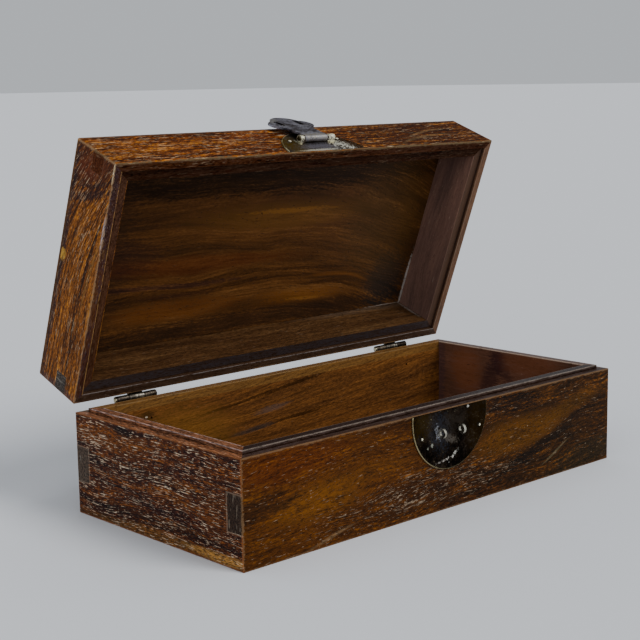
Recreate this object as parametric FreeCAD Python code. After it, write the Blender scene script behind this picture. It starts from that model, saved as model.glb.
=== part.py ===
import FreeCAD, Part
import os

V = FreeCAD.Vector

# Millimetres. X runs along the front to the right, the front faces -Y and +Z is up.
# The origin is the centre of the underside of the base.
# The lid is worked out shut, then turned back with its hasp to the way the box stands at rest.

# Carcase
length = 300.0
width = 145.0
base_height = 58.0
lid_wall_height = 34.4
board_thickness = 11.5
corner_radius = 1.0
eased_edge = 0.5

# Corner joints: mitred, with a tenon of each long board showing as a patch on the ends,
# from one share of the wall's height to another
base_tenon_shares = 0.33, 0.67
lid_tenon_shares = 0.3, 0.58

# Dust lip round the base's rim, and the room that the lid's rabbet leaves it
lip_thickness = 6.0
lip_height = 2.2
rim_gap = 0.3
lip_gap = 0.3

# Floor panel, flush underneath, with a tongue in a groove of all four boards
floor_thickness = 7.0
tongue_low = 3.0
tongue_thickness = 3.6
tongue_depth = 4.5
panel_gap = 0.25

# Top panel, laid over the lid's walls and let in between them
top_flange_thickness = 2.6
top_field_depth = 4.2
top_edge_radius = 1.2

# Sheet metal, rolled knuckles and their pins
sheet_thickness = 1.0
sheet_bevel = 0.3
pin_radius = 1.0
running_gap = 0.05
knuckle_gap = 0.3
pin_head_radius = 1.5
pin_head_height = 0.7

# Rear hinges
hinge_length = 28.0
hinge_leaf_height = 13.0
hinge_inset = 44.0
hinge_axis_out = 3.5
hinge_axis_up = 1.2
hinge_corner_radius = 1.2
middle_knuckle_share = 0.36

# Nails: filed round heads on square shanks, whose radius is to their corners
nail_head_radius = 1.6
nail_head_height = 0.9
nail_dome_shares = (1.0, 0.0), (0.75, 0.6), (0.3, 1.0)
nail_head_sides = 16
nail_shank_radius = 0.75
nail_shank_sides = 4
nail_shank_gap = 0.06
nail_tip_length = 2.0
nail_tip_share = 0.3
nail_length = 10.5
long_nail_length = 13.2
leaf_nail_reach_share = 0.68
leaf_nail_rise_share = 0.2

# Round lock plate, cut in two where the lid meets the base
lock_radius = 30.6
lock_offset = 0.8
lock_drop = 3.9
lock_split_gap = 0.4
lock_nail_inset = 4.9
base_lock_nail_angles = 202.0, 270.0, 338.0
lid_lock_nail_angles = 42.5, 90.0, 137.5

# Staples: split pins with a round eye, clenched inside the front board
staple_spacing = 16.0
staple_drop = 12.5
eye_stand = 2.3
eye_radius = 2.9
eye_hole_radius = 1.6
staple_width = 1.5
eye_edge_bevel = 0.25
leg_thickness = 0.9
leg_parting = 0.2
clench_length = 6.0
staple_fit = 0.05

# Hasp, hung from the upper half of the lock plate, a little to one side as its staples are
hasp_offset = -0.4
hasp_axis_out = 3.4
hasp_drop_to_eyes = 24.4
barrel_nail_gap = 3.7
end_knuckle_length = 4.6
hasp_shoulder = 20.0
hasp_shoulder_drop = 15.0
lobe_radius = 6.5
lobe_spacing = 20.0
lobe_drop = 22.0
crown_radius = 11.7
crown_drop = 24.2
slot_length = 7.0
slot_width = 2.7
slot_corner_radius = 0.9

# The way it stands at rest
lid_open_angle = 69.6
hasp_lean = 5.0

# How far cutting shapes run past what they cut, and how near two places are the same
overrun = 5.0
same_place = 0.001

# Places that follow from the sizes
lid_low = base_height + rim_gap
lid_wall_top = lid_low + lid_wall_height
lid_top = lid_wall_top + top_flange_thickness
rabbet_height = lip_height + lip_gap - rim_gap
knuckle_radius = pin_radius + running_gap + sheet_thickness
hinge_axis = V(0, width / 2 + hinge_axis_out, base_height + hinge_axis_up)
hinge_reach = length / 2 - hinge_inset
hinge_places = -hinge_reach, hinge_reach
lock_face = -width / 2
lock_nail_radius = lock_radius - lock_nail_inset
lock_height = base_height - lock_drop
staple_height = base_height - staple_drop
hasp_axis = V(hasp_offset, lock_face - hasp_axis_out, staple_height + hasp_drop_to_eyes)


def across(shape, direction, at):
    """Turns a shape that points up so that it points along -Y or +Y, and sets it down at a place."""
    turned = shape.copy()
    turned.rotate(V(), V(1, 0, 0), -direction * 90)
    turned.translate(at)
    return turned


def face_of(points):
    return Part.Face(Part.makePolygon([*points, points[0]]))


def prism(outline, low, high):
    """A flat outline of x, y points, carried up from one height to another."""
    return face_of([V(x, y, low) for x, y in outline]).extrude(V(0, 0, high - low))


def tube(radius, hole, low, high, y, z):
    """A ring section about an axis along X."""
    span = V(high - low, 0, 0)
    bar = Part.makeCylinder(radius, span.Length, V(low, y, z), V(1, 0, 0))
    bore_start = V(low - overrun, y, z)
    return bar.cut(Part.makeCylinder(hole, span.Length + 2 * overrun, bore_start, V(1, 0, 0)))


def slab(low, high):
    """A block between two corners."""
    size = high - low
    return Part.makeBox(size.x, size.y, size.z, low)


def edges_along(shape, axis):
    """The straight edges of a shape that run along one axis."""
    found = []
    for edge in shape.Edges:
        run = edge.Vertexes[-1].Point - edge.Vertexes[0].Point
        if run.cross(axis).Length < same_place < run.Length:
            found.append(edge)
    return found


def edges_at(shape, height):
    """The edges of a shape that start at one height and go no lower."""
    return [edge for edge in shape.Edges if abs(edge.BoundBox.ZMin - height) < same_place]


def envelope(low, high):
    """The outside of the box between two heights, with worn upright corners."""
    block = slab(V(-length / 2, -width / 2, low), V(length / 2, width / 2, high))
    return block.makeFillet(corner_radius, edges_along(block, V(0, 0, 1)))


def board(section, eased_heights, bands, run, depth, tenons, turn, outside):
    """One wall of a mitred frame, modelled as the front one and turned about Z to its side.

    The section holds points of depth into the board and height. Between the two middle
    heights of the bands, a board with tenons runs through and the other stops short of it.
    """
    front = -depth / 2
    profile = face_of([V(-run / 2, front + inward, z) for inward, z in section])
    bar = profile.extrude(V(run, 0, 0))
    arrises = [
        edge for edge in edges_along(bar, V(1, 0, 0))
        if any((edge.CenterOfMass - V(0, front, z)).Length < same_place for z in eased_heights)
    ]
    bar = bar.makeFillet(eased_edge, arrises)
    end = run / 2
    inner_end = end - board_thickness
    inner = front + board_thickness
    mitred = [(-end, front), (end, front), (inner_end, inner), (-inner_end, inner)]
    middle_end = end if tenons else inner_end
    middle = [(-middle_end, front), (middle_end, front), (middle_end, inner), (-middle_end, inner)]
    low, tenon_low, tenon_high, high = bands
    keep = prism(mitred, low, tenon_low)
    keep = keep.fuse([prism(middle, tenon_low, tenon_high), prism(mitred, tenon_high, high)])
    wall = bar.common(keep).removeSplitter()
    wall.rotate(V(), V(0, 0, 1), turn)
    return wall.common(outside)


def frame(section, eased_heights, low, high, wall_height, tenon_shares):
    """The four boards of one frame, by side."""
    tenon_low, tenon_high = [low + wall_height * share for share in tenon_shares]
    bands = (low, tenon_low, tenon_high, high)
    outside = envelope(low, high)
    sides = {
        "front": (length, width, True, 0),
        "right": (width, length, False, 90),
        "back": (length, width, True, 180),
        "left": (width, length, False, 270),
    }
    return {
        side: board(section, eased_heights, bands, run, depth, tenons, turn, outside)
        for side, (run, depth, tenons, turn) in sides.items()
    }


def base_boards():
    """The base's walls, each with the lip on its rim and the groove for the floor."""
    lip_top = base_height + lip_height
    lip_front = board_thickness - lip_thickness
    groove_bottom = board_thickness - tongue_depth - panel_gap
    groove_top = tongue_low + tongue_thickness + panel_gap
    section = [
        (0, 0), (board_thickness, 0),
        (board_thickness, tongue_low), (groove_bottom, tongue_low),
        (groove_bottom, groove_top), (board_thickness, groove_top),
        (board_thickness, lip_top), (lip_front, lip_top),
        (lip_front, base_height), (0, base_height),
    ]
    return frame(section, (0, base_height), 0, lip_top, base_height, base_tenon_shares)


def lid_boards():
    """The lid's walls, rabbeted inside to drop over the lip."""
    strip = board_thickness - lip_thickness - lip_gap
    shoulder = lid_low + rabbet_height
    section = [
        (0, lid_low), (strip, lid_low), (strip, shoulder), (board_thickness, shoulder),
        (board_thickness, lid_wall_top), (0, lid_wall_top),
    ]
    return frame(section, (lid_low,), lid_low, lid_wall_top, lid_wall_height, lid_tenon_shares)


def plate_between(inset, low, high):
    """A board with its edges set in from the outside of the box, between two heights."""
    reach = V(length / 2 - inset, width / 2 - inset, 0)
    return slab(V(0, 0, low) - reach, V(0, 0, high) + reach)


def floor_panel():
    """The floor: a field that fills the frame, and a tongue all round it."""
    inset = board_thickness + panel_gap
    field = plate_between(inset, 0, floor_thickness)
    tongue = plate_between(inset - tongue_depth, tongue_low, tongue_low + tongue_thickness)
    return field.fuse(tongue).removeSplitter()


def top_panel():
    """The lid's top: laid over the walls with its upper edge rounded off, and let in between them."""
    flange = envelope(lid_wall_top, lid_top)
    flange = flange.makeFillet(top_edge_radius, edges_at(flange, lid_top))
    field = plate_between(board_thickness + panel_gap, lid_wall_top - top_field_depth, lid_wall_top)
    return flange.fuse(field).removeSplitter()


def stacked(levels, sides):
    """A flat-sided solid about Z through regular outlines, each level given as radius and height."""
    turns = [FreeCAD.Rotation(V(0, 0, 1), 360 * (side + 1 / 2) / sides) for side in range(sides)]
    rings = [[turn.multVec(V(radius, 0, height)) for turn in turns] for radius, height in levels]
    faces = [face_of(rings[0]), face_of(rings[-1])]
    for ring, following in zip(rings, rings[1:]):
        for side in range(sides):
            faces.append(face_of([ring[side - 1], ring[side], following[side], following[side - 1]]))
    return Part.makeSolid(Part.makeShell(faces))


def nail(shank_length):
    """A domed nail that points up, with its head seated at height zero."""
    dome = [(nail_head_radius * out, nail_head_height * up) for out, up in nail_dome_shares]
    shank = [
        (nail_shank_radius, 0),
        (nail_shank_radius, nail_tip_length - shank_length),
        (nail_shank_radius * nail_tip_share, -shank_length),
    ]
    return stacked(dome, nail_head_sides).fuse(stacked(shank, nail_shank_sides)).removeSplitter()


def nail_bore(shank_length):
    """The hole that a nail's shank fills."""
    radius = nail_shank_radius + nail_shank_gap
    return stacked([(radius, overrun), (radius, -shank_length - nail_shank_gap)], nail_shank_sides)


def lock_nail_places(angles):
    """Where the lock plate's nails sit, seen from the front, on the plate's outer face."""
    centre = V(lock_offset, lock_face - sheet_thickness, lock_height)
    turns = [FreeCAD.Rotation(V(0, 1, 0), -angle) for angle in angles]
    return [centre + turn.multVec(V(lock_nail_radius, 0, 0)) for turn in turns]


def barrel_length():
    """The hasp's barrel ends short of the nails on either side of it."""
    side_nail = lock_nail_places(lid_lock_nail_angles)[0]
    return 2 * (side_nail.x - lock_offset - nail_head_radius - barrel_nail_gap)


def hasp_neck():
    """The hasp's neck fills the barrel between the plate's end knuckles."""
    return barrel_length() - 2 * (end_knuckle_length + knuckle_gap)


def lock_disc():
    """The whole round plate, its outer edge bevelled, before it is cut in two."""
    disc = Part.makeCylinder(lock_radius, sheet_thickness)
    disc = disc.makeChamfer(sheet_bevel, edges_at(disc, sheet_thickness))
    return across(disc, -1, V(lock_offset, lock_face, lock_height))


def half_disc(low, high):
    """The part of the round plate between two heights."""
    reach = lock_radius + overrun
    front = lock_face - sheet_thickness - overrun
    band = slab(V(lock_offset - reach, front, low), V(lock_offset + reach, lock_face + overrun, high))
    return lock_disc().common(band)


def staple(side):
    """One split pin: an eye seated on the plate, and two legs, turned up and down inside the board."""
    seat = lock_face - sheet_thickness
    inside = lock_face + board_thickness
    x = hasp_offset + side * staple_spacing / 2 - staple_width / 2
    neck = seat - eye_stand
    middle = V(x, neck, staple_height)
    along = V(1, 0, 0)
    eye = Part.makeCylinder(eye_radius, staple_width, middle, along)
    eye = eye.makeChamfer(eye_edge_bevel, [edge for edge in eye.Edges if len(edge.Vertexes) == 1])
    past = V(overrun, 0, overrun)
    behind_low = V(x, seat, staple_height - eye_radius)
    behind_high = V(x + staple_width, seat + eye_radius, staple_height + eye_radius)
    eye = eye.cut(slab(behind_low - past, behind_high + past))
    half_shank = leg_thickness + leg_parting / 2
    shank = slab(
        V(x, neck, staple_height - half_shank),
        V(x + staple_width, inside + leg_thickness, staple_height + half_shank),
    )
    clench = slab(
        V(x, inside, staple_height - half_shank - clench_length),
        V(x + staple_width, inside + leg_thickness, staple_height + half_shank + clench_length),
    )
    hole_start = middle - along * overrun
    hole = Part.makeCylinder(eye_hole_radius, staple_width + 2 * overrun, hole_start, along)
    parting = slab(
        V(x - overrun, neck, staple_height - leg_parting / 2),
        V(x + staple_width + overrun, inside + leg_thickness + overrun, staple_height + leg_parting / 2),
    )
    return eye.fuse([shank, clench]).cut(hole).cut(parting).removeSplitter()


def staple_mortise(side):
    """The slot that a staple's legs pass through, in the plate and in the board."""
    x = hasp_offset + side * staple_spacing / 2
    half_x = staple_width / 2 + staple_fit
    half_z = leg_thickness + leg_parting / 2 + staple_fit
    return slab(
        V(x - half_x, lock_face - overrun, staple_height - half_z),
        V(x + half_x, lock_face + board_thickness + overrun, staple_height + half_z),
    )


def lower_lock_plate():
    plate = half_disc(lock_height - lock_radius - overrun, base_height - lock_split_gap)
    return plate.cut([staple_mortise(side) for side in (-1, 1)] + lock_bores(base_lock_nail_angles))


def lock_bores(angles):
    return [across(nail_bore(nail_length), -1, at) for at in lock_nail_places(angles)]


def lock_nails(angles):
    return Part.makeCompound([across(nail(nail_length), -1, at) for at in lock_nail_places(angles)])


def end_knuckle_spans(barrel_middle, barrel, middle, knuckle):
    """The stretches of a barrel on either side of its middle knuckle, whose own middle is given."""
    return [
        (barrel_middle - barrel / 2, middle - knuckle / 2 - knuckle_gap),
        (middle + knuckle / 2 + knuckle_gap, barrel_middle + barrel / 2),
    ]


def rolled_knuckle(low, high, axis, face, rise):
    """A stretch of sheet that leaves a flat face, above or below the pin, and rolls round the pin."""
    roll = tube(knuckle_radius, pin_radius + running_gap, low, high, axis.y, axis.z)
    outer = axis.z + rise * knuckle_radius
    inner = outer - rise * sheet_thickness
    web_low = V(low, min(axis.y, face), min(outer, inner))
    web_high = V(high, max(axis.y, face), max(outer, inner))
    bore = Part.makeCylinder(pin_radius + running_gap, high - low, V(low, axis.y, axis.z), V(1, 0, 0))
    return roll.fuse(slab(web_low, web_high).cut(bore))


def upper_lock_plate():
    """The upper half of the plate, with the end knuckles of the hasp's barrel rolled from it."""
    plate = half_disc(lid_low + lock_split_gap, lock_height + lock_radius + overrun)
    spans = end_knuckle_spans(lock_offset, barrel_length(), hasp_offset, hasp_neck())
    rolls = [rolled_knuckle(low, high, hasp_axis, lock_face - sheet_thickness, -1) for low, high in spans]
    return plate.cut(lock_bores(lid_lock_nail_angles)).fuse(rolls).removeSplitter()


def barrel_pin(axis, x, barrel):
    """A pin along X with a burred head at each end of its barrel."""
    start = V(x - barrel / 2, axis.y, axis.z)
    shank = Part.makeCylinder(pin_radius, barrel, start, V(1, 0, 0))
    heads = []
    for side in (-1, 1):
        at = V(x + side * barrel / 2, axis.y, axis.z)
        head = Part.makeCone(pin_head_radius, pin_radius, pin_head_height, at, V(side, 0, 0))
        heads.append(head)
    return shank.fuse(heads).removeSplitter()


def hasp_plate():
    """The cloud-shaped hasp, hanging down shut: a middle knuckle, a neck, side lobes and a crown."""
    back = hasp_axis.y + knuckle_radius
    front = back - sheet_thickness

    def disc(x, drop, radius):
        start = V(hasp_axis.x + x, front, hasp_axis.z - drop)
        return Part.makeCylinder(radius, sheet_thickness, start, V(0, 1, 0))

    half_neck = hasp_neck() / 2
    half_shoulder = hasp_shoulder / 2
    neck_end = knuckle_radius + knuckle_gap
    neck_outline = [
        (-half_neck, 0), (-half_neck, -neck_end), (-half_shoulder, -hasp_shoulder_drop),
        (half_shoulder, -hasp_shoulder_drop), (half_neck, -neck_end), (half_neck, 0),
    ]
    corners = [V(hasp_axis.x + x, front, hasp_axis.z + z) for x, z in neck_outline]
    neck = face_of(corners).extrude(V(0, sheet_thickness, 0))
    lobes = [disc(side * lobe_spacing / 2, lobe_drop, lobe_radius) for side in (-1, 1)]
    blade = neck.fuse([*lobes, disc(0, crown_drop, crown_radius)]).removeSplitter()
    for side in (-1, 1):
        at = V(hasp_offset + side * staple_spacing / 2, back, staple_height)
        reach = V(slot_width / 2, overrun, slot_length / 2)
        slot = slab(at - reach, at + reach)
        blade = blade.cut(slot.makeFillet(slot_corner_radius, edges_along(slot, V(0, 1, 0))))
    low, high = hasp_axis.x - half_neck, hasp_axis.x + half_neck
    bore = Part.makeCylinder(pin_radius + running_gap, high - low, V(low, hasp_axis.y, hasp_axis.z), V(1, 0, 0))
    roll = tube(knuckle_radius, pin_radius + running_gap, low, high, hasp_axis.y, hasp_axis.z)
    return roll.fuse(blade.cut(bore)).removeSplitter()


def leaf_nail_places(x, rise):
    """A leaf's three nails: one at each end, and one between them nearer the leaf's edge."""
    edge = hinge_axis.z + rise * (knuckle_radius - sheet_thickness)
    middle = edge + rise * hinge_leaf_height / 2
    reach = hinge_length / 2 * leaf_nail_reach_share
    shift = rise * hinge_leaf_height * leaf_nail_rise_share
    face = width / 2 + sheet_thickness
    return [V(x - reach, face, middle - shift), V(x, face, middle + shift), V(x + reach, face, middle - shift)]


def hinge_leaf(x, rise):
    """One leaf of a butt hinge on the back: the base's has the end knuckles, the lid's the middle one."""
    back = width / 2
    edge = hinge_axis.z + rise * (knuckle_radius - sheet_thickness)
    far = edge + rise * hinge_leaf_height
    half = hinge_length / 2
    plate = slab(V(x - half, back, min(edge, far)), V(x + half, back + sheet_thickness, max(edge, far)))
    upright = edges_along(plate, V(0, 1, 0))
    corners = [edge for edge in upright if abs(edge.CenterOfMass.z - far) < same_place]
    plate = plate.makeFillet(hinge_corner_radius, corners)
    middle_knuckle = hinge_length * middle_knuckle_share
    ends = end_knuckle_spans(x, hinge_length, x, middle_knuckle)
    spans = ends if rise < 0 else [(x - middle_knuckle / 2, x + middle_knuckle / 2)]
    rolls = [rolled_knuckle(low, high, hinge_axis, back, rise) for low, high in spans]
    lengths = leaf_nail_lengths(rise)
    bores = [across(nail_bore(size), 1, at) for at, size in zip(leaf_nail_places(x, rise), lengths)]
    return plate.fuse(rolls).cut(bores).removeSplitter()


def leaf_nail_lengths(rise):
    """The base's middle nails come out inside the back board."""
    return (nail_length, long_nail_length if rise < 0 else nail_length, nail_length)


def leaf_nails(x, rise):
    pairs = zip(leaf_nail_places(x, rise), leaf_nail_lengths(rise))
    return Part.makeCompound([across(nail(size), 1, at) for at, size in pairs])


def leaf_bores(rise):
    """The holes that both hinges' nails fill in the back board of the base or lid."""
    return [
        across(nail_bore(size), 1, at)
        for x in hinge_places
        for at, size in zip(leaf_nail_places(x, rise), leaf_nail_lengths(rise))
    ]


def base_nodes():
    boards = base_boards()
    boards["front"] = boards["front"].cut(
        [staple_mortise(side) for side in (-1, 1)] + lock_bores(base_lock_nail_angles)
    )
    boards["back"] = boards["back"].cut(leaf_bores(-1))
    nodes = {f"base_{side}_board": shape for side, shape in boards.items()}
    nodes["base_floor_panel"] = floor_panel()
    nodes["lock_plate_lower"] = lower_lock_plate()
    nodes["lock_plate_lower_nails"] = lock_nails(base_lock_nail_angles)
    nodes["staple_left"] = staple(-1)
    nodes["staple_right"] = staple(1)
    for name, x in zip(("left", "right"), hinge_places):
        nodes[f"hinge_{name}_base_leaf"] = hinge_leaf(x, -1)
        nodes[f"hinge_{name}_base_nails"] = leaf_nails(x, -1)
        nodes[f"hinge_{name}_pin"] = barrel_pin(hinge_axis, x, hinge_length)
    return nodes


def lid_nodes():
    boards = lid_boards()
    boards["front"] = boards["front"].cut(lock_bores(lid_lock_nail_angles))
    boards["back"] = boards["back"].cut(leaf_bores(1))
    nodes = {f"lid_{side}_board": shape for side, shape in boards.items()}
    nodes["lid_top_panel"] = top_panel()
    nodes["lock_plate_upper"] = upper_lock_plate()
    nodes["lock_plate_upper_nails"] = lock_nails(lid_lock_nail_angles)
    nodes["hasp_pin"] = barrel_pin(hasp_axis, lock_offset, barrel_length())
    for name, x in zip(("left", "right"), hinge_places):
        nodes[f"hinge_{name}_lid_leaf"] = hinge_leaf(x, 1)
        nodes[f"hinge_{name}_lid_nails"] = leaf_nails(x, 1)
    return nodes


def turned_back(shape, pivot, angle):
    """A shape swung about an axis along X, up from the front and over to the back."""
    swung = shape.copy()
    swung.rotate(pivot, V(1, 0, 0), -angle)
    return swung


nodes = base_nodes()
for name, shape in lid_nodes().items():
    nodes[name] = turned_back(shape, hinge_axis, lid_open_angle)
raised_hasp = turned_back(hasp_plate(), hasp_axis, 180 + hasp_lean)
nodes["hasp"] = turned_back(raised_hasp, hinge_axis, lid_open_angle)

os.makedirs("parts", exist_ok=True)
for name, shape in nodes.items():
    shape.exportStep(f"parts/{name}.step")
    print(name, len(shape.Solids), shape.isValid(), round(shape.Volume, 1))

hasp_pivot = turned_back(Part.Vertex(hasp_axis), hinge_axis, lid_open_angle).Point
print("hinge axis", hinge_axis, "hasp axis", hasp_pivot)
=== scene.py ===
import math
from dataclasses import dataclass, field

import bpy
from mathutils import Matrix, Vector


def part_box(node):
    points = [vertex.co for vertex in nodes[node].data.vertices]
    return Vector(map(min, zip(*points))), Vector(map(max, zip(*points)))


# Metres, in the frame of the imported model. Lengths inside materials are millimetres on the
# shut box, so that grain and marks keep their place on their board at every pose.

MM = 0.001

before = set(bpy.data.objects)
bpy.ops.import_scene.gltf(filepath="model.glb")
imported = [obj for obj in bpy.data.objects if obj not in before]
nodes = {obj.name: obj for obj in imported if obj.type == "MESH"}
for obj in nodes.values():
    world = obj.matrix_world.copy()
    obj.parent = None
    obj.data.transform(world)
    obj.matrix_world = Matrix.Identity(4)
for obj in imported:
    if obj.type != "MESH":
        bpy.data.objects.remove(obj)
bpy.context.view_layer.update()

# Sizes of the box that the materials follow, in millimetres
half_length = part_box("base_front_board")[1].x / MM
half_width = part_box("base_right_board")[1].y / MM
lip_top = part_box("base_front_board")[1].z / MM
lip_height = 2.2
base_height = lip_top - lip_height
board_thickness = 11.5
rim_step = 5.4
rim_gap = 0.3
lid_wall_height = 34.4
lid_panel_edge = 2.6
lid_low = base_height + rim_gap
lid_top = lid_low + lid_wall_height + lid_panel_edge
tenon_span = 19.1, 38.9
lid_tenon_span = 10.3, 20.0
hinge_axis_out = 3.5
hinge_axis_up = 1.2
hinge_axis = Vector((0, half_width + hinge_axis_out, base_height + hinge_axis_up))
lid_open_angle = math.radians(69.6)
lock_x = 0.8
lock_z = 54.1
lock_radius = 30.6
lock_nail_inset = 4.9
nail_top = -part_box("lock_plate_lower_nails")[0].y / MM

# Camera, fitted to the photograph's edges
CAMERA_PLACE = Vector((-574.7, -589.8, 238.6)) * MM
CAMERA_HEADING = math.radians(42.77)
CAMERA_DIP = math.radians(9.57)
CAMERA_ROLL = math.radians(-0.93)
CAMERA_LENS = 79.81
CAMERA_SENSOR = 36.0


def linear(code, gain=1.0):
    """A colour written as in a picture, as the shader's own numbers."""
    channels = [int(code[i:i + 2], 16) / 255 for i in (0, 2, 4)]
    bright = [c / 12.92 if c <= 0.04045 else ((c + 0.055) / 1.055) ** 2.4 for c in channels]
    return tuple(min(1, c * gain) for c in bright) + (1,)


class Field:
    """A value that varies over a surface: an output of a node tree, with sums written as sums."""

    def __init__(self, tree, socket):
        self.tree = tree
        self.socket = socket

    def __add__(self, other):
        return self.tree.math("ADD", self, other)

    def __radd__(self, other):
        return self.tree.math("ADD", other, self)

    def __sub__(self, other):
        return self.tree.math("SUBTRACT", self, other)

    def __rsub__(self, other):
        return self.tree.math("SUBTRACT", other, self)

    def __mul__(self, other):
        return self.tree.math("MULTIPLY", self, other)

    def __truediv__(self, other):
        return self.tree.math("DIVIDE", self, other)

    def __abs__(self):
        return self.tree.math("ABSOLUTE", self)


class Tree:
    """The node tree of one material, written as expressions."""

    def __init__(self, name, gain=1.0):
        self.material = bpy.data.materials.new(name)
        self.material.use_nodes = True
        self.gain = gain
        self.nodes = self.material.node_tree.nodes
        self.links = self.material.node_tree.links
        self.shader = self.nodes["Principled BSDF"]

    def node(self, kind, inputs=(), **settings):
        made = self.nodes.new(kind)
        for name, value in settings.items():
            setattr(made, name, value)
        for name, value in dict(inputs).items():
            self.feed(made.inputs[name], value)
        return made

    def feed(self, socket, value):
        if isinstance(value, Field):
            self.links.new(value.socket, socket)
        else:
            socket.default_value = value

    def math(self, operation, *values):
        made = self.node("ShaderNodeMath", operation=operation)
        for socket, value in zip(made.inputs, values):
            self.feed(socket, value)
        return Field(self, made.outputs[0])

    def larger(self, first, second):
        return self.math("MAXIMUM", first, second)

    def smaller(self, first, second):
        return self.math("MINIMUM", first, second)

    def middle(self, first, second, third):
        """The middle one of three values."""
        low, high = self.smaller(first, second), self.larger(first, second)
        return self.larger(low, self.smaller(high, third))

    def smooth(self, value, low, high):
        """0 at the first value, 1 at the second, with an easy slope between them."""
        made = self.node("ShaderNodeMapRange", interpolation_type="SMOOTHSTEP")
        for name, number in (("Value", value), ("From Min", low), ("From Max", high)):
            self.feed(made.inputs[name], number)
        return Field(self, made.outputs["Result"])

    def vector(self, x, y, z):
        return Field(self, self.node("ShaderNodeCombineXYZ", {"X": x, "Y": y, "Z": z}).outputs[0])

    def noise(self, place, detail=2.0, roughness=0.5):
        """A cloudy value round one half."""
        settings = {"Vector": place, "Scale": 1.0, "Detail": detail, "Roughness": roughness}
        return Field(self, self.node("ShaderNodeTexNoise", settings).outputs["Fac"])

    def cells(self, place):
        """How far each point is from the nearest of scattered points."""
        settings = {"Vector": place, "Scale": 1.0, "Randomness": 1.0}
        return Field(self, self.node("ShaderNodeTexVoronoi", settings).outputs["Distance"])

    def mix(self, share, first, second):
        """From the first colour to the second."""
        made = self.node("ShaderNodeMix", data_type="RGBA")
        for index, value in ((0, share), (6, first), (7, second)):
            self.feed(made.inputs[index], linear(value, self.gain) if isinstance(value, str) else value)
        return Field(self, made.outputs[2])

    def shade(self, colour, factor):
        """A colour made lighter or darker."""
        made = self.node("ShaderNodeVectorMath", {"Scale": factor}, operation="SCALE")
        self.feed(made.inputs[0], colour)
        return Field(self, made.outputs[0])

    def ramp(self, share, codes):
        """Evenly spaced colours for a share from 0 to 1."""
        made = self.node("ShaderNodeValToRGB", {"Fac": share})
        elements = made.color_ramp.elements
        while len(elements) < len(codes):
            elements.new(1)
        for index, code in enumerate(codes):
            elements[index].position = index / (len(codes) - 1)
            elements[index].color = linear(code, self.gain)
        return Field(self, made.outputs[0])

    def cover(self, mark, along, across, ragged):
        """A mark's strength in its middle, fading to 0 outside it."""
        turn = math.radians(mark.tilt)
        away, aside = along - mark.along, across - mark.across
        run = away * math.cos(turn) + aside * math.sin(turn)
        rise = aside * math.cos(turn) - away * math.sin(turn)
        if mark.bow:
            rise = rise - run * run * mark.bow
        reach = run * run / mark.long ** 2 + rise * rise / mark.wide ** 2 + ragged * mark.ragged
        return self.smooth(reach, 1 + mark.soft, 1 - mark.soft) * mark.strength

    def places(self, lid=False):
        """x, y and z in millimetres on the shut box."""
        inside = Field(self, self.node("ShaderNodeTexCoord").outputs["Object"])
        if lid:
            turn = self.node("ShaderNodeVectorRotate", {
                "Vector": inside, "Center": hinge_axis * MM, "Axis": (1, 0, 0), "Angle": lid_open_angle,
            })
            inside = Field(self, turn.outputs[0])
        apart = self.node("ShaderNodeSeparateXYZ", {"Vector": inside})
        return [Field(self, output) / MM for output in apart.outputs]

    def finish(self, colour, roughness, height=None, **uniform):
        """Colour, roughness and a height in millimetres, with the values that are alike all over."""
        self.feed(self.shader.inputs["Base Color"], colour)
        self.feed(self.shader.inputs["Roughness"], roughness)
        for name, value in uniform.items():
            self.shader.inputs[name.replace("_", " ")].default_value = value
        if height is not None:
            bump = self.node("ShaderNodeBump", {"Height": height, "Strength": 1.0, "Distance": MM})
            self.links.new(bump.outputs[0], self.shader.inputs["Normal"])
        return self.material


@dataclass
class Mark:
    """A soft patch or streak, placed in millimetres along and across the grain."""

    along: float
    across: float
    long: float
    wide: float
    colour: str = ""
    strength: float = 0.6
    tilt: float = 0.0
    bow: float = 0.0
    soft: float = 0.5
    ragged: float = 1.0
    inside: bool = False


@dataclass
class Look:
    """How one board's wood looks. Colours are written as in a picture, from dark to light."""

    # Which board it is, and a number that makes its patterns its own
    side: str
    lid: bool
    seed: float

    # The figure's colours, how far they are brightened, and the outside's share of that. The
    # brightening is partly painted light: boards whose inside lies in shade are lifted more, and the
    # outside keeps only its share
    tones: tuple
    gain: float
    outside: float = 1.0

    # The grain's slope, its arch (from where, how strongly), and how strong each pattern is
    lean: float = 0.0
    arch: tuple = (0.0, 0.0)
    band_length: float = 90.0
    band_width: float = 8.0
    wander: float = 7.0
    bands: float = 0.6
    streaks: float = 0.6
    grit: float = 0.6

    # Pores: how long and wide they are against the usual, and how many are filled or open
    pore: tuple = (1.0, 1.0)
    filled: float = -0.08
    filling: str = "8d8272"
    opened: float = 0.06

    # Rubbed edges, end grain, how strong the line round a tenon and the painted shadow at the lip's
    # foot are, and the rims' colours: wood tone with a painted sheen, and a painted highlight
    wear: str = "8a6a4a"
    end_grain: tuple = ("2c231c", "56473b")
    end_strokes: str = "8c857a"
    joint: float = 0.4
    foot_shadow: float = 0.8
    rim: str = ""
    lip: str = ""
    glint: str = ""

    gloss: float = 0.05
    marks: list = field(default_factory=list)
    pore_marks: list = field(default_factory=list)


# Patterns in the wood: length and width in millimetres, and a shift along the grain that
# keeps any two on one board from matching
STREAKS = 24.0, 1.6, 40.0
GRIT = 3.0, 0.8, 80.0
DENSITY = 22.0, 7.0, 90.0
OPEN_PORES = 3.5, 0.7, 170.0
LONG_PORES = 7.5, 0.75, 10.0
SHORT_PORES = 2.6, 0.7, 410.0
DRIFT_LENGTH = 70.0
DRIFT_WIDTH = 26.0

# Values of a pore pattern between which a pore's edge falls
PORE_EDGE = 0.675, 0.7

# Depths in millimetres between which a board's outside gives way to its inside
BOARD_SKIN = 2.5, 5.0
PANEL_SKIN = 1.5, 3.0
BOARD_INNER_FACE = board_thickness - 0.4, board_thickness - 0.1

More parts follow.
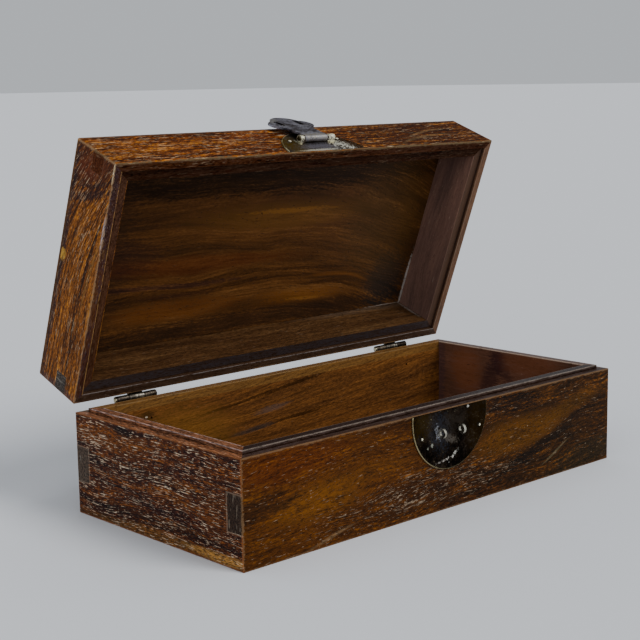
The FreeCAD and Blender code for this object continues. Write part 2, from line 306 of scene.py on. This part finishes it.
# Width and height in millimetres of the dots and the strokes in end grain
END_DOTS = 0.9, 1.3
END_STROKES = 1.2, 7.0

# How far from its middle each feature reaches in millimetres: to where it has gone, and to
# where it is whole
RIM_REACH = 3.2, 2.8
END_REACH = 0.35, 0.2
JOINT_REACH = 0.6, 0.2
WEAR_REACH = 1.0, 0.3
FOOT_SHADOW_REACH = 0.4, 0.2
ARRIS_REACH = 0.8, 0.2
WEAR_STRENGTH = 0.6

# Heights of the patterns and depths of the pores in the bump, in millimetres
STREAK_RELIEF = 0.15
GRIT_RELIEF = 0.12
OPEN_DEPTH = 0.08
FILLED_DEPTH = 0.05


def board_axes(side, lid, x, y, z):
    """Along the grain, across it and into the board from outside, in millimetres."""
    height = z - lid_low if lid else z
    if side == "front":
        return x + half_length, height, y + half_width
    if side == "back":
        return x + half_length, height, half_width - y
    if side == "left":
        return half_width - y, height, x + half_length
    if side == "right":
        return half_width - y, height, half_length - x
    into = lid_top - z if lid else z
    return x + half_length, y + half_width, into


class Wood:
    """The wood of one board: its places, and the patterns that its layers of colour share."""

    def __init__(self, tree, look, along, across, into, z):
        self.tree = tree
        self.look = look
        self.along = along
        self.across = across
        self.into = into

        place = tree.vector(along / DRIFT_LENGTH + look.seed, across / DRIFT_WIDTH, into / DRIFT_WIDTH)
        self.drift = (tree.noise(place, detail=1.0) - 0.5) * (2 * look.wander)
        self.grain = across - along * look.lean + self.drift
        start, amount = look.arch
        if amount:
            beyond = tree.larger(along - start, 0.0)
            self.grain = self.grain + beyond * beyond * amount

        panel = look.side == "panel"
        shallow, deep = PANEL_SKIN if panel else BOARD_SKIN
        self.outer = tree.smooth(into, deep, shallow)
        self.inner = 1.0 - self.outer
        # Painted light: the face inside the box takes the whole brightening, the outside only its share
        inner_face = tree.smooth(into, *(PANEL_SKIN if panel else BOARD_INNER_FACE))
        self.shading = inner_face * (1.0 - look.outside) + look.outside

        self.bands = tree.noise(self.stretched(look.band_length, look.band_width), detail=2.0)
        self.streaks = tree.noise(self.stretched(*STREAKS), detail=3.0, roughness=0.6)
        self.grit = tree.noise(self.stretched(*GRIT), detail=2.0, roughness=0.7)
        self.ragged = self.streaks + self.grit - 1.0
        self.on_rim = self.rim_strip(z)

    def stretched(self, length, width, shift=0.0):
        """A place in the wood for a pattern so long along the grain and so wide across it."""
        return self.tree.vector(
            (self.along + (self.look.seed + shift)) / length, self.grain / width, self.into / width
        )

    def rim_strip(self, z):
        """1 on the rim, its lip or its rabbet, and 0 on the walls."""
        if self.look.side == "panel":
            return 0.0
        from_rim = abs(z - (lid_low if self.look.lid else base_height))
        between = self.tree.smooth(self.into, 0.1, 0.3)
        between = between * self.tree.smooth(self.into, board_thickness - 0.1, board_thickness - 0.3)
        return self.tree.smooth(from_rim, *RIM_REACH) * between

    def mark(self, mark):
        """How strongly a mark covers each place. A mark on the outside runs on over the rim."""
        across = self.across + self.drift * 0.5
        if not mark.inside:
            across = across + self.into * (1.0 if self.look.lid else -1.0)
        cover = self.tree.cover(mark, self.along, across, self.ragged * 3.0)
        return cover * (self.inner if mark.inside else self.outer)

    def dashes(self, pattern, amount):
        """Short thin pores along the grain: 1 inside one, and more of them as the amount grows."""
        length, width, shift = pattern
        longer, wider = self.look.pore
        place = self.stretched(length * longer, width * wider, shift)
        return self.tree.smooth(self.tree.noise(place, detail=1.0) + amount, *PORE_EDGE)


def wood_material(name, look):
    """The material of one board, built up from the figure to the wear."""
    tree = Tree(name, look.gain)
    x, y, z = tree.places(look.lid)
    wood = Wood(tree, look, *board_axes(look.side, look.lid, x, y, z), z)
    streaks = (wood.streaks - 0.5) * look.streaks
    grit = (wood.grit - 0.5) * look.grit

    colour = tree.ramp((wood.bands - 0.5) * (2 * look.bands) + streaks + grit + 0.5, look.tones)
    for mark in look.marks:
        colour = tree.mix(wood.mark(mark), colour, mark.colour)
    if look.side != "panel":
        colour = rims(tree, look, wood, colour, z)
    colour = tree.shade(colour, streaks * 2 + grit * 2 + 1.0)

    opened, filled = pores(tree, look, wood)
    colour = tree.mix(opened * 0.7, colour, look.tones[0])
    brightness = tree.smooth(wood.grit, 0.4, 0.6)
    colour = tree.mix(filled * (brightness * 0.65 + 0.3), colour, look.filling)

    if look.side in ("front", "back"):
        colour = tenon_ends(tree, look, wood, colour)
    elif look.side != "panel":
        colour = joint_lines(tree, look, wood, colour)
    colour = worn_edges(tree, look, wood, colour, x, y, z)
    # Painted light: each board's inside and outside brightened by different amounts
    colour = tree.shade(colour, wood.shading)

    rough = 0.5 - wood.bands * 0.15 + filled * 0.2
    height = (wood.streaks - 0.5) * STREAK_RELIEF + (wood.grit - 0.5) * GRIT_RELIEF
    height = height - opened * OPEN_DEPTH - filled * FILLED_DEPTH
    return tree.finish(colour, rough, height, Specular_IOR_Level=look.gloss)


def pores(tree, look, wood):
    """Open pores, and pores filled with pale wax and dust: each 1 inside a pore and 0 outside."""
    dense = tree.noise(wood.stretched(*DENSITY), detail=2.0)
    opened = wood.dashes(OPEN_PORES, dense * 0.1 + (look.opened - 0.05))
    amount = look.filled - 0.075 + (1.0 - dense) * 0.15
    for mark in look.pore_marks:
        amount = amount + wood.mark(mark)
    filled = tree.larger(wood.dashes(LONG_PORES, amount), wood.dashes(SHORT_PORES, amount - 0.02))
    return opened, filled * (wood.outer * 0.7 + 0.3) * (1.0 - wood.on_rim * 0.7)


def tenon_middle(look):
    """The height of a corner tenon's middle on its board, and half its height."""
    low, high = lid_tenon_span if look.lid else tenon_span
    return (low + high) / 2, (high - low) / 2


def tenon_ends(tree, look, wood, colour):
    """The end grain of a long board's tenons: dotted, with paler upright strokes."""
    def pattern(width, height):
        return tree.noise(tree.vector(wood.into / width, wood.across / height, look.seed), detail=3.0)

    middle, half = tenon_middle(look)
    from_end = tree.smaller(wood.along, 2 * half_length - wood.along)
    end = tree.smooth(from_end, *END_REACH)
    end = end * tree.smooth(abs(wood.across - middle), half + 0.3, half)
    dots = tree.smooth(pattern(*END_DOTS), 0.35, 0.65)
    colour = tree.mix(end, colour, tree.ramp(dots, look.end_grain))
    strokes = tree.smooth(pattern(*END_STROKES), 0.58, 0.66)
    return tree.mix(end * strokes * 0.6, colour, look.end_strokes)


def joint_lines(tree, look, wood, colour):
    """The worn line round each tenon, on the short board that it comes through."""
    middle, half = tenon_middle(look)
    from_corner = tree.smaller(wood.along, 2 * half_width - wood.along) - board_thickness
    beside = tree.larger(from_corner, abs(wood.across - middle) - half)
    line = tree.smooth(abs(beside - 0.3) + wood.ragged * 0.8, *JOINT_REACH) * wood.outer
    return tree.mix(line * look.joint, colour, look.filling)


def worn_edges(tree, look, wood, colour, x, y, z):
    """Outer arrises rubbed paler, in an uneven line."""
    low, high = (lid_low, lid_top) if look.lid else (0.0, base_height)
    from_end = half_length - abs(x)
    from_side = half_width - abs(y)
    from_level = tree.smaller(z - low, high - z)
    away = tree.middle(from_end, from_side, from_level)
    rubbed = tree.smooth(away + wood.ragged * 2.5, *WEAR_REACH) * wood.outer
    return tree.mix(rubbed * WEAR_STRENGTH, colour, look.wear)


def rims(tree, look, wood, colour, z):
    """The rim and its lip or rabbet: the wood's tone with a painted sheen, a painted shadow at the
    lip's foot and a painted highlight along the arrises.
    """
    uneven = wood.ragged * 1.4 + 0.75
    # Painted sheen: the rim and the lip take the wood's tone greyed by a painted reflection
    colour = tree.mix(wood.on_rim * uneven, colour, look.rim)
    on_lip = wood.on_rim * tree.smooth(wood.into, rim_step, rim_step + 0.4)
    colour = tree.mix(on_lip * uneven, colour, look.lip)

    from_top = abs(z - (lid_low if look.lid else lip_top))
    from_step = abs(wood.into - rim_step)
    # Painted shadow: a dark line at the foot of the lip or rabbet
    foot_shadow = wood.on_rim * tree.smooth(from_step, *FOOT_SHADOW_REACH) * tree.smooth(from_top, 1.2, 1.6)
    colour = tree.mix(foot_shadow * look.foot_shadow, colour, look.tones[0])

    # Painted highlight: a pale line along the step's arris and along the inner arris
    from_arris = tree.smaller(from_step, abs(wood.into - board_thickness))
    arris_glint = tree.smooth(from_arris + wood.ragged * 1.5, *ARRIS_REACH)
    return tree.mix(arris_glint * tree.smooth(from_top, 0.7, 0.2) * 0.9, colour, look.glint)


def base_looks():
    """The base's boards, by the names of their nodes."""
    front = Look(
        side="front", lid=False, seed=0, gain=0.6, lean=0.05, streaks=1.0, grit=1.2,
        tones=("2a1405", "402208", "5a320a", "7e4a12"),
        pore=(0.8, 0.72), filled=-0.05, filling="b09a80", opened=0.02,
        wear="9c7854", rim="4e403c", lip="362a28", glint="a09082",
        end_grain=("2a1c16", "4e3a2c"), end_strokes="a0907c",
        marks=[
            Mark(45, 30, 80, 30, "6c3c0e", 0.5, soft=0.9),
            Mark(30, 50, 40, 9, "6a2e0a", 0.45, soft=0.9),
            Mark(50, 26, 30, 9, "8e5818", 0.45, tilt=3, soft=0.9),
            Mark(90, 33, 26, 5, "7c4a12", 0.4, tilt=3, soft=0.9),
            Mark(62, 5, 15, 0.9, "a5845c", 0.45, tilt=12, soft=0.9),
            Mark(150, 10, 80, 14, "2c180e", 0.5, soft=0.9),
            Mark(255, 25, 80, 40, "2c1c06", 0.6, soft=0.9),
            Mark(215, 33, 40, 9, "7c4c08", 0.55, tilt=4, soft=0.9),
            Mark(262, 42, 26, 5, "6c4408", 0.45, tilt=12, soft=0.9),
            Mark(200, 52, 30, 6, "1a0f0a", 0.7, tilt=-4, soft=0.9),
            Mark(232, 22, 44, 3.5, "140e09", 0.75, tilt=19, soft=0.9),
            Mark(278, 8, 36, 9, "2c2412", 0.7, tilt=8, soft=0.9),
            Mark(246, 15, 12, 0.7, "8a7a58", 0.5, tilt=24, soft=0.9),
            Mark(10, 31, 24, 6, "1c120b", 0.6, soft=0.9),
        ],
        pore_marks=[Mark(150, 16, 60, 10, strength=0.09), Mark(80, 12, 50, 10, strength=0.05)],
    )
    left = Look(
        side="left", lid=False, seed=300, gain=0.9, wander=5, bands=0.85, streaks=0.9, grit=1.4,
        band_length=70, band_width=5, tones=("1c0e10", "3a1c14", "603214", "864e1c"),
        pore=(1.3, 0.72), filled=0.033, filling="e6ceb0", opened=0.14,
        wear="9a6038", rim="8e5c3e", lip="8a5a3e", glint="c8aca4", joint=0.16, foot_shadow=0.3,
        marks=[
            Mark(35, 49, 34, 6, "8a4c12", 0.5, soft=0.9),
            Mark(46, 55, 10, 2.4, "120a0b", 0.85, ragged=0.6, soft=0.7),
            Mark(75, 10, 90, 3, "1b100e", 0.6, soft=0.8),
            Mark(70, 34, 70, 3, "180d0b", 0.5, tilt=-2, soft=0.8),
            Mark(70, 2.5, 70, 3, "7a572c", 0.5, soft=0.8),
            Mark(125, 3.5, 25, 2.5, "c48e46", 0.7, soft=0.8),
            Mark(125, 26, 12, 10, "7c4518", 0.4, soft=0.9),
        ],
        pore_marks=[Mark(17, 46, 12, 5, strength=0.05), Mark(60, 34, 60, 6, strength=0.02)],
    )
    back = Look(
        side="back", lid=False, seed=600, gain=1.05, lean=0.1, wander=5, streaks=0.7, grit=0.7,
        tones=("3c2312", "513218", "67401c", "80572a"), opened=-0.02,
        wear="7a5a3a", rim="5a4028", lip="6e4c24", glint="8a6e48",
        marks=[
            Mark(127, 49, 58, 1.0, "2a1808", 0.75, tilt=5.8, soft=0.7, inside=True),
            Mark(144, 30, 50, 1.0, "2a1808", 0.65, tilt=5, soft=0.7, inside=True),
            Mark(136, 39, 13, 2.2, "444040", 0.5, tilt=6, soft=0.9, inside=True),
            Mark(121, 28, 16, 1.6, "3c3836", 0.45, tilt=5, soft=0.9, inside=True),
            Mark(42, 50, 5, 2.2, "1c130c", 0.75, soft=0.9, inside=True),
            Mark(40.5, 49.5, 0.9, 0.5, "c8bca8", 0.8, ragged=0.5, inside=True),
            Mark(60, 30, 40, 20, "7c5620", 0.4, soft=0.9, inside=True),
        ],
    )
    right = Look(
        side="right", lid=False, seed=800, gain=2.5, outside=0.36,
        wander=4, bands=0.3, streaks=0.2, grit=0.25, band_length=40, band_width=16,
        tones=("261812", "3a261c", "4c3226", "644632"), filled=-0.1, filling="978a7c", opened=-0.04,
        rim="54453c", lip="665248", glint="907c6c",
        marks=[
            Mark(57, 40, 22, 6, "1c1016", 0.52, tilt=65, soft=0.95, inside=True),
            Mark(67, 50, 14, 5, "1c1016", 0.45, tilt=-50, soft=0.95, inside=True),
            Mark(36, 44, 12, 14, "62361c", 0.4, soft=0.95, inside=True),
            Mark(13, 46, 4, 30, "2c2024", 0.5, soft=0.95, inside=True),
            Mark(92, 54, 22, 8, "56301c", 0.5, soft=0.95, inside=True),
        ],
        pore_marks=[Mark(70, 30, 90, 40, strength=0.1)],
    )
    floor = Look(
        side="panel", lid=False, seed=1000, gain=1.8, outside=0.9,
        band_width=14, tones=("241408", "3b240e", "533412", "6b461c"),
    )
    return {
        "base_front_board": front, "base_left_board": left, "base_back_board": back,
        "base_right_board": right, "base_floor_panel": floor,
    }


def lid_looks():
    """The lid's boards, by the names of their nodes."""
    front = Look(
        side="front", lid=True, seed=1300, gain=0.62, wander=3, streaks=1.5, grit=1.6, band_width=5,
        tones=("381402", "5e2b04", "8c4a0e", "b4762c"), gloss=0.01,
        pore=(1.5, 0.8), filled=0.02, filling="e2caa4",
        wear="967e5c", rim="40281c", lip="3a2418", glint="7a583c",
        end_grain=("4a2414", "6e3c22"), end_strokes="8a6a50",
        marks=[
            Mark(245, 14, 80, 30, "401c00", 0.85, soft=0.9),
            Mark(245, 12, 24, 1.4, "b08c5c", 0.35, tilt=12, bow=-0.004, soft=0.9),
            Mark(255, 20, 22, 1.2, "b08c5c", 0.35, tilt=14, bow=-0.004, soft=0.9),
            Mark(20, 8, 40, 1.0, "30140a", 0.6, tilt=-4, soft=0.8),
            Mark(118, 25, 30, 5, "6a2c08", 0.5, soft=0.9),
            Mark(128, 12, 26, 16, "5a280c", 0.4, soft=0.9),
        ],
        pore_marks=[Mark(240, 14, 80, 50, strength=-0.035)],
    )
    left = Look(
        side="left", lid=True, seed=1600, gain=1.1, wander=2, streaks=1.2, grit=1.2, band_width=6,
        arch=(50, 0.0032), tones=("2c1408", "562e0c", "7e4814", "a87026"),
        pore=(1.4, 0.65), filled=0.01, filling="bca484",
        wear="9a7a58", rim="2a1e22", lip="40281a", glint="a07848", joint=0.04,
        marks=[
            Mark(35, 12.5, 30, 0.9, "201008", 0.8, soft=0.7),
            Mark(87, 9, 32, 1.0, "201008", 0.75, tilt=-11, bow=-0.0025, soft=0.7),
            Mark(85, 5, 32, 0.9, "b07c3a", 0.4, tilt=-11, bow=-0.0025, soft=0.9),
            Mark(137, 18, 46, 17, "3c1b10", 0.8, tilt=-65, soft=0.6),
            Mark(119, 18, 26, 2.4, "1a1118", 0.6, tilt=-65, bow=0.003, soft=0.9),
            Mark(127, 12, 16, 1.4, "1c1214", 0.55, tilt=-62, bow=0.008, soft=0.8),
            Mark(134, 21, 12, 6, "662c12", 0.5, tilt=-65, soft=0.9),
            Mark(0, 18, 4, 30, "463a40", 0.6, soft=0.9),
            Mark(75, 34.5, 90, 3.0, "2a2024", 0.75, soft=0.8),
            Mark(78, 33.5, 3.6, 3.4, "b88a34", 0.9, ragged=0.8, soft=0.3),
            # Painted highlight: a bright line along the lower arris at the front corner
            Mark(142, 0.2, 10, 0.7, "e8d8b0", 0.9, ragged=0.5, soft=0.6),
            Mark(104, 0.6, 10, 0.8, "a8a4ac", 0.7, ragged=0.6, soft=0.7),
        ],
        pore_marks=[Mark(90, 16, 14, 5, strength=0.05, tilt=-20)],
    )
    back = Look(
        side="back", lid=True, seed=1900, gain=1.1, wander=4,
        tones=("2a1a0e", "3a2514", "4a321c", "5e462a"), filled=-0.06,
        rim="3c2c22", lip="2e282a", glint="8c8480",
        end_grain=("231f1c", "4e4640"), end_strokes="7c766c",
        marks=[
            # Painted highlight: a pale line down the inner corner by the right wall
            Mark(287, 22, 12, 1.2, "8c8078", 0.6, tilt=90, soft=0.8, inside=True),
            Mark(250, 30, 50, 4, "5a4a3c", 0.45, soft=0.95, inside=True),
        ],
    )
    right = Look(
        side="right", lid=True, seed=2200, gain=3.0, outside=0.33,
        wander=5, bands=0.5, streaks=0.25, grit=0.2, band_width=12,
        tones=("2c201e", "3a2b26", "4a362e", "5c4638"), opened=-0.04,
        rim="6e4e38", lip="46342a", glint="8a7462",
        pore_marks=[Mark(70, 18, 90, 30, strength=0.1)],
    )
    panel = Look(
        side="panel", lid=True, seed=2500, gain=2.2, outside=0.9, streaks=0.42, grit=0.3,
        arch=(150, -0.0016), band_length=110, band_width=9,
        tones=("1e1209", "2c1a0b", "3f2610", "583a1c"), filled=-0.1, filling="4c4034", opened=-0.02,
        marks=[
            # Painted shadow: the front board's shadow across the panel along its front
            Mark(150, 30, 150, 9, "0e0804", 0.75, soft=0.9, inside=True),
            Mark(20, 75, 24, 60, "1e140e", 0.5, soft=0.9, inside=True),
            Mark(165, 54, 66, 8, "503412", 0.45, soft=0.95, inside=True),
            Mark(165, 51, 32, 1.4, "6c4618", 0.45, tilt=1, ragged=1.6, soft=0.9, inside=True),
            Mark(140, 92, 100, 1.2, "170c06", 0.55, bow=0.0007, soft=0.9, inside=True),
            Mark(150, 98, 110, 1.0, "170c06", 0.45, bow=0.0007, soft=0.9, inside=True),
            # Painted highlights: golden streaks of sheen
            Mark(84, 111, 40, 6, "603410", 0.28, ragged=1.8, soft=0.95, inside=True),
            Mark(188, 115, 32, 5, "643a10", 0.3, tilt=3, ragged=1.8, soft=0.95, inside=True),
            Mark(192, 117, 14, 1.1, "845824", 0.22, tilt=3, ragged=2.0, soft=0.95, inside=True),
            Mark(75, 94, 55, 1.8, "1c1012", 0.5, tilt=1, soft=0.9, inside=True),
            Mark(85, 101, 30, 1.6, "22120c", 0.45, tilt=-1, soft=0.9, inside=True),
            Mark(90, 82, 75, 5, "421e0a", 0.4, tilt=1, soft=0.95, inside=True),
            Mark(44, 74, 22, 10, "20120e", 0.45, soft=0.95, inside=True),
            Mark(225, 103, 30, 1.6, "5a3410", 0.4, tilt=12, bow=0.004, soft=0.9, inside=True),
            Mark(215, 108, 34, 1.2, "170c06", 0.5, tilt=10, bow=0.004, soft=0.9, inside=True),
            Mark(150, 127, 150, 7, "18100c", 0.6, soft=0.9, inside=True),
            Mark(266, 111, 18, 20, "151616", 0.75, soft=0.9, inside=True),
            Mark(255, 66, 36, 40, "33230f", 0.5, soft=0.95, inside=True),
            # Painted highlights: pale lines along the panel's edges at the right and back walls
            Mark(287.4, 116, 20, 1.2, "8c8680", 0.7, tilt=90, soft=0.8, inside=True),
            Mark(268, 132.4, 20, 1.0, "7c7268", 0.6, soft=0.8, inside=True),
        ],
        pore_marks=[Mark(90, 60, 110, 60, strength=0.07), Mark(230, 90, 80, 60, strength=0.07)],
    )
    return {
        "lid_front_board": front, "lid_left_board": left, "lid_back_board": back,
        "lid_right_board": right, "lid_top_panel": panel,
    }


@dataclass
class Metal:
    """How a piece of old brass looks. Its marks are placed from the front, across and up."""

    # Colours of the dull skin from dark to light, the bare metal's colour, which also paints the glint
    # on nail tops, and how bare it is
    tones: tuple
    bright: str
    lid: bool = False
    rubbed: float = 0.3
    specks: float = 0.0
    roughness: float = 0.4

    # A rubbed rim, as the middle's x and z and a radius, and how far out nail heads get a painted glint
    # on their tops
    ring: tuple = ()
    top_glint: float = 0.0
    marks: list = field(default_factory=list)


CLOUD_SIZE = 7.0
FINE_SIZE = 1.0
SPECK_SPACING = 1.7
RING_EDGE = 0.55, 0.3
NAIL_GLINT_EDGE = 0.2, 0.05

# Keeps the pale studio's reflection warm where brass is seen at a low angle
GLANCING_TINT = (0.45, 0.4, 0.32, 1)


def brass_material(name, metal):
    """Old brass: a brown-black skin, mottled, and rubbed to metal in places, with a painted glint on
    the tops of nail heads.
    """
    tree = Tree(name)
    x, y, z = tree.places(metal.lid)

    def scaled(size):
        return tree.vector(x / size, y / size, z / size)

    clouds = tree.noise(scaled(CLOUD_SIZE), detail=4.0, roughness=0.6)
    fine = tree.noise(scaled(FINE_SIZE), detail=3.0, roughness=0.7)
    colour = tree.ramp(tree.smooth(clouds * 0.5 + fine * 0.5, 0.38, 0.62), metal.tones)
    bare_and_glint = tree.smooth(clouds * 0.35 + fine * 0.65, 0.62, 0.7) * metal.rubbed
    if metal.ring:
        ring_x, ring_z, ring_radius = metal.ring
        away, up = x - ring_x, z - ring_z
        from_centre = tree.math("SQRT", away * away + up * up)
        inner, outer = RING_EDGE
        edge = tree.smooth(from_centre, ring_radius - inner, ring_radius - outer)
        brighter_left = tree.smooth(x + (clouds - 0.5) * 20.0, ring_x + 10.0, ring_x - 22.0)
        bare_and_glint = tree.larger(bare_and_glint, edge * (brighter_left * 0.5 + 0.35))
    # Painted highlight: the tops of nail heads in the bare metal's colour
    if metal.top_glint:
        inner, outer = NAIL_GLINT_EDGE
        bare_and_glint = tree.larger(bare_and_glint, tree.smooth(abs(y), metal.top_glint - inner, metal.top_glint - outer))
    if metal.specks:
        near = tree.cells(scaled(SPECK_SPACING))
        few = tree.smooth(clouds, 0.5, 0.6)
        bare_and_glint = tree.larger(bare_and_glint, tree.smooth(near, 0.16, 0.1) * few * metal.specks)
    colour = tree.mix(bare_and_glint, colour, metal.bright)
    for mark in metal.marks:
        colour = tree.mix(tree.cover(mark, x, z, (fine - 0.5) * 12.0), colour, mark.colour)
    rough = metal.roughness + (fine - 0.5) * 0.3
    height = (fine - 0.5) * 0.06 + (clouds - 0.5) * 0.5
    return tree.finish(colour, rough, height, Metallic=1.0, Specular_Tint=GLANCING_TINT)


def metals():
    """The brasses, by the names that metal_of gives."""
    ring = lock_x, lock_z, lock_radius
    plate = Metal(
        tones=("0b0a0a", "1a1614", "302822"), bright="b4a880", ring=ring, rubbed=0.25, specks=0.6,
        marks=[
            Mark(24, 46, 8, 16, "2c200a", 0.6, soft=0.9),
            Mark(-22, 52, 8, 7, "3a2c10", 0.6, soft=0.8),
            Mark(-8, 46, 7, 9, "3c3e46", 0.5, tilt=20, soft=0.95),
            Mark(-9.5, 45.5, 1.8, 3.6, "b8bac4", 0.65, tilt=20, soft=0.95),
            Mark(1, 40.5, 4.5, 2.0, "6a6258", 0.6, tilt=-20, soft=0.9),
            Mark(4, 49, 7, 5, "38322c", 0.6, soft=0.95),
            Mark(-3.4, 29.2, 4.6, 0.45, "c0b8ac", 0.9, tilt=8, ragged=1.6, soft=0.9),
            Mark(3.2, 30.6, 3.0, 0.7, "d0ccc0", 0.9, tilt=40, ragged=1.6, soft=0.9),
            Mark(1.2, 29.8, 1.8, 0.4, "c0b8ac", 0.8, tilt=-10, ragged=1.6, soft=0.9),
            Mark(-14.5, 39.2, 0.8, 0.8, "a8a898", 0.8, soft=0.5),
            Mark(-17.7, 38.1, 0.6, 0.6, "a8a898", 0.7, soft=0.5),
            Mark(15.4, 56.7, 0.8, 0.6, "d0ccc0", 0.9, soft=0.5),
            Mark(-13.3, 25.9, 0.7, 0.8, "7c8468", 0.7, soft=0.5),
        ],
    )
    upper = Metal(
        tones=("2e2824", "4a423c", "66605a"), bright="c8c09c", lid=True, ring=ring,
        rubbed=0.2, roughness=0.5,
        marks=[
            Mark(-19, 67, 9, 11, "5c4814", 0.85, soft=0.6),
            # Painted reflection: the right part of the plate takes the wood's brown
            Mark(27, 66, 9, 12, "3c2208", 0.9, soft=0.6),
            Mark(0, 63, 13, 4.5, "8c8a96", 0.75, soft=0.9),
            Mark(-4, 58.8, 13, 0.5, "dcd4bc", 0.7, ragged=0.5, soft=0.9),
            # Painted glints on the dented sheet round the right nail and on the pin's peened end
            Mark(16, 65, 4.6, 3.6, "f0ecdc", 0.95, tilt=-40, ragged=2.4, soft=0.9),
            Mark(18, 61.5, 5, 1.2, "f0ecdc", 0.9, tilt=-30, ragged=2.4, soft=0.9),
            Mark(13, 70, 3.5, 2.5, "e8e4c8", 0.9, soft=0.8),
            Mark(-12.5, 70, 1.6, 3.0, "e8e4c8", 0.8, soft=0.5),
        ],
    )
    hasp = Metal(
        tones=("38363e", "6c6c78", "a0a0ac"), bright="d0ccc0", lid=True, rubbed=0.7, roughness=0.45,
        marks=[
            Mark(0, 69.9, 14, 2.8, "aaa49a", 0.8, soft=0.9),
            # Painted highlight: a glint on the crown's left edge
            Mark(-9, 100, 5, 2.5, "b0aeaa", 0.6, tilt=50, soft=0.9),
            # Painted shade in the hasp's two slots
            Mark(-8.4, 94.2, 2.2, 4.4, "0c0a0c", 0.95, ragged=0.3, soft=0.3),
            Mark(7.6, 94.2, 2.2, 4.4, "0c0a0c", 0.95, ragged=0.3, soft=0.3),
        ],
    )
    pin = Metal(tones=("968e74", "ccc4a4"), bright="fff4d8", lid=True, rubbed=0.8, roughness=0.3)
    hasp_pin = Metal(tones=("1c180e", "4a422c"), bright="a89c78", lid=True, rubbed=0.3)
    leaf = Metal(tones=("2a2420", "463e36", "6a6052"), bright="c0b8a0", rubbed=0.4)
    # Painted light: the lid's leaves are the base's brass painted lighter
    lid_leaf = Metal(tones=("4a443c", "7c766a", "a49c8e"), bright="e0d8c4", lid=True, rubbed=0.5)
    staple = Metal(tones=("8c887c", "c8c4b4"), bright="f0ecdc", rubbed=0.9, roughness=0.3)
    nails = Metal(
        tones=("0c0a08", "1c1814", "343028"), bright="f0e8cc", top_glint=nail_top, rubbed=0.2, roughness=0.3,
        marks=[Mark(lock_x, lock_z - lock_radius + lock_nail_inset, 3, 3, "1c1814", 1.0, ragged=0)],
    )
    lid_nails = Metal(
        tones=("1c1814", "3a342c"), bright="fff4d8", lid=True, top_glint=nail_top, rubbed=0.2, roughness=0.3
    )
    return {
        "plate": plate, "upper": upper, "hasp": hasp, "hasp_pin": hasp_pin, "pin": pin,
        "leaf": leaf, "lid_leaf": lid_leaf, "staple": staple, "nails": nails, "lid_nails": lid_nails,
    }


def metal_of(name):
    """Which brass a metal node of the frame is made of."""
    if name.startswith("staple"):
        return "staple"
    if name.endswith("nails"):
        return "lid_nails" if "upper" in name or "lid" in name else "nails"
    if name.startswith("hinge") and name.endswith("pin"):
        return "pin"
    if name.endswith("leaf"):
        return "lid_leaf" if "lid" in name else "leaf"
    return {"lock_plate_lower": "plate", "lock_plate_upper": "upper"}.get(name, name)


def dress():
    """Gives every node of the frame its material."""
    looks = base_looks() | lid_looks()
    woods = {name: wood_material(f"{name}_wood", look) for name, look in looks.items()}
    brasses = {name: brass_material(f"{name}_brass", metal) for name, metal in metals().items()}
    for name, node in nodes.items():
        node.data.materials.clear()
        node.data.materials.append(woods.get(name) or brasses[metal_of(name)])


SKY_COLOUR = (0.86, 0.9, 0.95, 1)
SKY_STRENGTH = 0.6
FLOOR_COLOUR = "dcdee2"
FLOOR_REACH = 40.0


def soft_sun(name, place, spread, power):
    """A wide soft light, from the direction of a place."""
    data = bpy.data.lights.new(name, "SUN")
    data.angle = math.radians(spread)
    data.energy = power
    made = bpy.data.objects.new(name, data)
    made.rotation_euler = Vector(place).to_track_quat("Z", "Y").to_euler()
    bpy.context.scene.collection.objects.link(made)


def stage():
    """A plain pale floor under soft lights and a pale sky."""
    world = bpy.data.worlds.new("studio")
    bpy.context.scene.world = world
    world.use_nodes = True
    sky = world.node_tree.nodes["Background"]
    sky.inputs["Color"].default_value = SKY_COLOUR
    sky.inputs["Strength"].default_value = SKY_STRENGTH

    mesh = bpy.data.meshes.new("floor")
    corners = [(x * FLOOR_REACH, y * FLOOR_REACH, 0) for x, y in ((-1, -1), (1, -1), (1, 1), (-1, 1))]
    mesh.from_pydata(corners, [], [(0, 1, 2, 3)])
    floor = bpy.data.objects.new("floor", mesh)
    bpy.context.scene.collection.objects.link(floor)
    tree = Tree("floor_paper")
    mesh.materials.append(tree.finish(linear(FLOOR_COLOUR), 0.9, Specular_IOR_Level=0.2))

    soft_sun("key", place=(0.35, -0.9, 0.9), spread=30, power=1.9)
    soft_sun("fill", place=(-0.8, -0.6, 0.5), spread=60, power=0.7)


def camera():
    """The photograph's camera."""
    data = bpy.data.cameras.new("camera")
    data.lens = CAMERA_LENS
    data.sensor_width = CAMERA_SENSOR
    made = bpy.data.objects.new("camera", data)
    made.location = CAMERA_PLACE
    turn = Matrix.Rotation(-CAMERA_HEADING, 3, "Z") @ Matrix.Rotation(math.pi / 2 - CAMERA_DIP, 3, "X")
    made.rotation_euler = (turn @ Matrix.Rotation(CAMERA_ROLL, 3, "Z")).to_euler()
    bpy.context.scene.collection.objects.link(made)
    bpy.context.scene.camera = made


dress()
stage()
camera()
